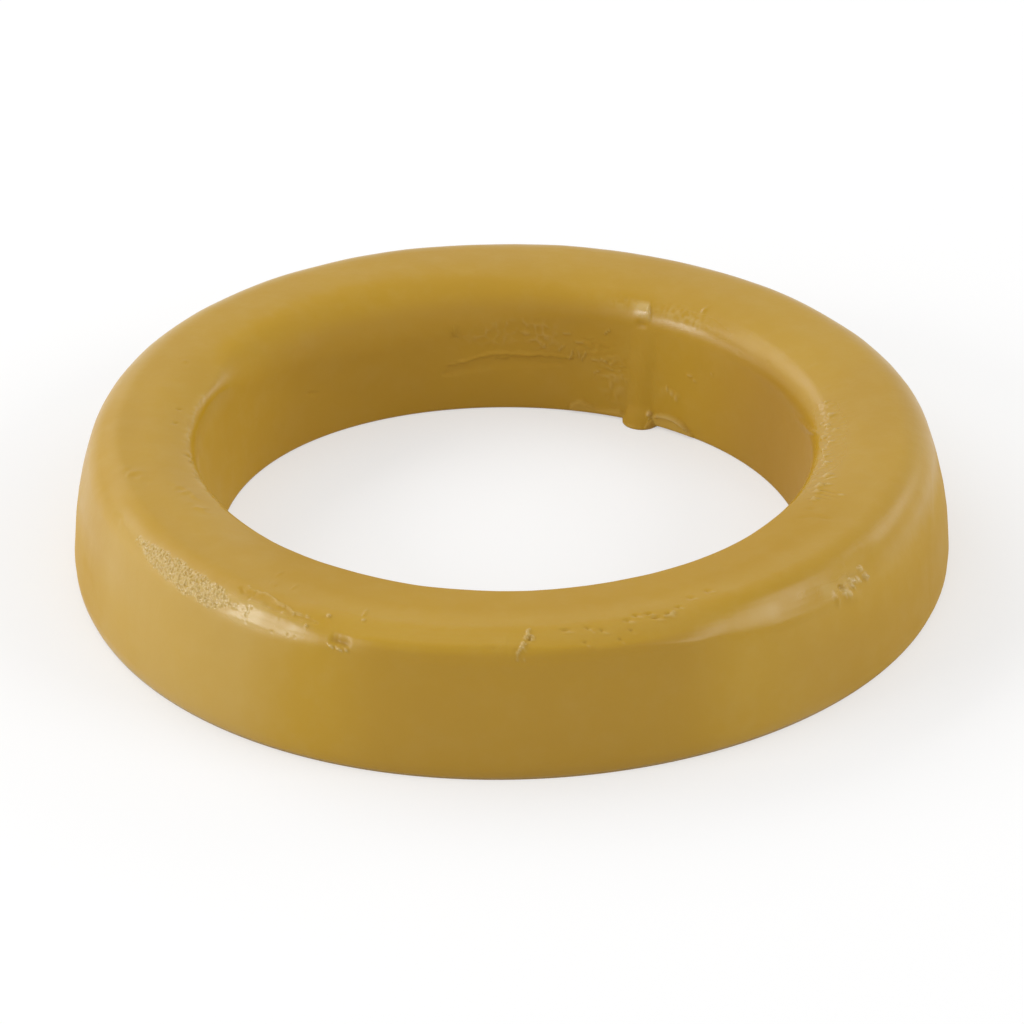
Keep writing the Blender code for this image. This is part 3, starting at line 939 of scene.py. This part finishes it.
def marked_points(skin):
    """The skin's points in metres with the relief laid on, kept inside the plain part's box."""
    points = skin.points + skin.normals * skin.relief[..., None]
    turns = skin.turn[:, None]
    radius = drip(skin, np.hypot(points[..., 0], points[..., 1]))
    points[..., 0] = radius * np.cos(turns)
    points[..., 1] = radius * np.sin(turns)
    points *= MM
    low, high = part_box("wax_ring")
    points = np.clip(points, np.array(low), np.array(high))
    below = skin.level >= UNDERSIDE_LEVEL
    points[below, 2] = np.minimum(points[below, 2], skin.height[below] * MM)
    return points


def make_ring():
    skin = Skin()
    for lay_marks in MARKS:
        lay_marks(skin)
    points = marked_points(skin)
    columns, rows = skin.radius.shape
    number = np.arange(columns * rows).reshape(columns, rows)
    beside = np.roll(number, -1, axis=0)
    over = np.roll(number, -1, axis=1)
    diagonal = np.roll(beside, -1, axis=1)
    faces = np.stack([number, beside, diagonal, over], axis=2).reshape(-1, 4)
    mesh = bpy.data.meshes.new("poured_wax")
    mesh.from_pydata(points.reshape(-1, 3).tolist(), [], faces.tolist())
    for name, most in PAINTS.items():
        values = np.clip(skin.paint[name], 0, most).astype(np.float32)
        mesh.attributes.new(name, "FLOAT", "POINT").data.foreach_set("value", values.ravel())
    mesh.shade_smooth()
    ring = bpy.data.objects.new("poured_wax", mesh)
    bpy.context.scene.collection.objects.link(ring)
    return ring


def add(tree, kind, **settings):
    node = tree.nodes.new(kind)
    for name, value in settings.items():
        setattr(node, name, value)
    return node


def noise_node(tree, place, size, detail=3.0, rough=0.5):
    """Noise with lumps of about a size in metres."""
    node = add(tree, "ShaderNodeTexNoise")
    node.inputs["Scale"].default_value = 1 / size
    node.inputs["Detail"].default_value = detail
    node.inputs["Roughness"].default_value = rough
    tree.links.new(place, node.inputs["Vector"])
    return node.outputs["Fac"]


def spread(tree, value, between, to):
    """Values that lie between two numbers, moved to lie between two others."""
    node = add(tree, "ShaderNodeMapRange")
    node.inputs["From Min"].default_value = between[0]
    node.inputs["From Max"].default_value = between[1]
    node.inputs["To Min"].default_value = to[0]
    node.inputs["To Max"].default_value = to[1]
    tree.links.new(value, node.inputs["Value"])
    return node.outputs["Result"]


def mixed(tree, share, first, second):
    """One colour over another. Each is a colour or a node's output."""
    node = add(tree, "ShaderNodeMix", data_type="RGBA")
    tree.links.new(share, node.inputs["Factor"])
    for name, colour in (("A", first), ("B", second)):
        socket = [s for s in node.inputs if s.name == name and s.type == "RGBA"][0]
        if isinstance(colour, tuple):
            socket.default_value = colour
        else:
            tree.links.new(colour, socket)
    return [s for s in node.outputs if s.type == "RGBA"][0]


def painted(tree, name):
    return add(tree, "ShaderNodeAttribute", attribute_name=name).outputs["Fac"]


def bump(tree, height, distance, strength, under=None):
    node = add(tree, "ShaderNodeBump")
    node.inputs["Distance"].default_value = distance
    tree.links.new(height, node.inputs["Height"])
    if isinstance(strength, float):
        node.inputs["Strength"].default_value = strength
    else:
        tree.links.new(strength, node.inputs["Strength"])
    if under is not None:
        tree.links.new(under, node.inputs["Normal"])
    return node.outputs["Normal"]


def wax_material():
    material = bpy.data.materials.new("wax")
    material.use_nodes = True
    tree = material.node_tree
    shader = tree.nodes["Principled BSDF"]
    place = add(tree, "ShaderNodeTexCoord").outputs["Object"]
    clouds = spread(tree, noise_node(tree, place, CLOUD_SIZE), (0.35, 0.65), (0.0, 0.5))
    mottle = noise_node(tree, place, MOTTLE_SIZE, detail=5.0, rough=0.6)
    mottle = spread(tree, mottle, (0.45, 0.75), (0.0, 0.12))
    tone = mixed(tree, clouds, WAX_TONE, WAX_DEEP)
    tone = mixed(tree, mottle, tone, WAX_PALE_AND_SHEEN)
    # Painted highlights and sheen, then painted shade, are laid into the colour where the skin's values say
    tone = mixed(tree, painted(tree, "pale"), tone, WAX_PALE_AND_SHEEN)
    tone = mixed(tree, painted(tree, "deep"), tone, WAX_PAINTED_SHADE)
    tree.links.new(tone, shader.inputs["Base Color"])
    patches = noise_node(tree, place, PATCH_SIZE, detail=4.0, rough=0.6)
    rough = spread(tree, patches, (0.3, 0.7), PLAIN_ROUGHNESS)
    for name, change in ROUGHNESS_CHANGES:
        sum_node = add(tree, "ShaderNodeMath", operation="MULTIPLY_ADD")
        tree.links.new(painted(tree, name), sum_node.inputs[0])
        sum_node.inputs[1].default_value = change
        tree.links.new(rough, sum_node.inputs[2])
        rough = sum_node.outputs[0]
    tree.links.new(rough, shader.inputs["Roughness"])
    pebble = add(tree, "ShaderNodeTexVoronoi")
    pebble.inputs["Scale"].default_value = 1 / PEBBLE_SIZE
    tree.links.new(place, pebble.inputs["Vector"])
    pebble_height = spread(tree, pebble.outputs["Distance"], (0.0, 0.7), (1.0, 0.0))
    skin = bump(tree, pebble_height, PEBBLE_HEIGHT, painted(tree, "pebbled"))
    grain = noise_node(tree, place, GRAIN_SIZE, rough=0.6)
    skin = bump(tree, grain, GRAIN_HEIGHT, GRAIN_STRENGTH, skin)
    tree.links.new(skin, shader.inputs["Normal"])
    shader.inputs["IOR"].default_value = 1.44
    shader.inputs["Specular IOR Level"].default_value = 0.46
    shader.inputs["Subsurface Weight"].default_value = 0.08
    shader.inputs["Subsurface Radius"].default_value = (1.0, 0.55, 0.2)
    shader.inputs["Subsurface Scale"].default_value = 0.002
    return material


def seen_share(tree):
    """1 for rays that show the background, 0 for rays that light the object."""
    path = add(tree, "ShaderNodeLightPath")
    total = path.outputs["Is Camera Ray"]
    for name in ("Is Glossy Ray", "Is Transmission Ray"):
        either = add(tree, "ShaderNodeMath", operation="MAXIMUM")
        tree.links.new(total, either.inputs[0])
        tree.links.new(path.outputs[name], either.inputs[1])
        total = either.outputs["Value"]
    return total


def make_floor():
    material = bpy.data.materials.new("pale floor")
    material.use_nodes = True
    tree = material.node_tree
    tree.nodes.clear()
    lit = add(tree, "ShaderNodeBsdfDiffuse")
    lit.inputs["Color"].default_value = FLOOR_LIT
    shown = add(tree, "ShaderNodeBsdfDiffuse")
    shown.inputs["Color"].default_value = FLOOR_SHOWN
    glow = add(tree, "ShaderNodeEmission")
    glow.inputs["Strength"].default_value = FLOOR_GLOW
    both = add(tree, "ShaderNodeAddShader")
    tree.links.new(shown.outputs[0], both.inputs[0])
    tree.links.new(glow.outputs[0], both.inputs[1])
    choice = add(tree, "ShaderNodeMixShader")
    tree.links.new(seen_share(tree), choice.inputs["Fac"])
    tree.links.new(lit.outputs[0], choice.inputs[1])
    tree.links.new(both.outputs[0], choice.inputs[2])
    output = add(tree, "ShaderNodeOutputMaterial")
    tree.links.new(choice.outputs[0], output.inputs["Surface"])
    bpy.ops.mesh.primitive_plane_add(size=FLOOR_SIZE, location=(0, 0, 0))
    floor = bpy.context.object
    floor.name = "floor"
    floor.data.materials.append(material)


def make_world():
    world = bpy.data.worlds.new("studio")
    bpy.context.scene.world = world
    world.use_nodes = True
    tree = world.node_tree
    tree.nodes.clear()
    lit = add(tree, "ShaderNodeBackground")
    lit.inputs["Strength"].default_value = WORLD_LIT
    shown = add(tree, "ShaderNodeBackground")
    shown.inputs["Strength"].default_value = WORLD_SHOWN
    choice = add(tree, "ShaderNodeMixShader")
    tree.links.new(seen_share(tree), choice.inputs["Fac"])
    tree.links.new(lit.outputs[0], choice.inputs[1])
    tree.links.new(shown.outputs[0], choice.inputs[2])
    output = add(tree, "ShaderNodeOutputWorld")
    tree.links.new(choice.outputs[0], output.inputs["Surface"])


def softbox(name, azimuth, elevation, width, height, power):
    light = bpy.data.lights.new(name, "AREA")
    light.shape = "RECTANGLE"
    light.size = width
    light.size_y = height
    light.energy = power
    lamp = bpy.data.objects.new(name, light)
    a, e = math.radians(azimuth), math.radians(elevation)
    way = Vector((math.cos(a) * math.cos(e), math.sin(a) * math.cos(e), math.sin(e)))
    lamp.location = way * LAMP_DISTANCE
    lamp.rotation_euler = way.to_track_quat("Z", "Y").to_euler()
    bpy.context.scene.collection.objects.link(lamp)


def make_camera():
    elevation = math.radians(CAMERA_ELEVATION)
    roll = math.radians(CAMERA_ROLL)
    back = Vector((0, -math.cos(elevation), math.sin(elevation)))
    right = Vector((1, 0, 0))
    up = Vector((0, math.sin(elevation), math.cos(elevation)))
    focal = LENS / SENSOR * FRAME_PIXELS
    across = (VIEW_CENTRE[0] * math.cos(roll) - VIEW_CENTRE[1] * math.sin(roll)) / focal
    above = (VIEW_CENTRE[1] * math.cos(roll) + VIEW_CENTRE[0] * math.sin(roll)) / focal
    look = right * across + up * above - back
    camera = bpy.data.objects.new("camera", bpy.data.cameras.new("camera"))
    camera.data.lens = LENS
    camera.data.sensor_width = SENSOR
    camera.location = back * CAMERA_DISTANCE
    camera.rotation_mode = "QUATERNION"
    camera.rotation_quaternion = look.to_track_quat("-Z", "Y") @ Quaternion((0, 0, 1), roll)
    bpy.context.scene.collection.objects.link(camera)
    bpy.context.scene.camera = camera


def main():
    for thing in list(bpy.data.objects):
        bpy.data.objects.remove(thing)
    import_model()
    bpy.context.scene.view_settings.view_transform = "Standard"
    ring = make_ring()
    ring.data.materials.append(wax_material())
    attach(ring, "root")
    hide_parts("wax_ring")
    make_floor()
    make_world()
    for lamp in LAMPS:
        softbox(*lamp)
    make_camera()


main()
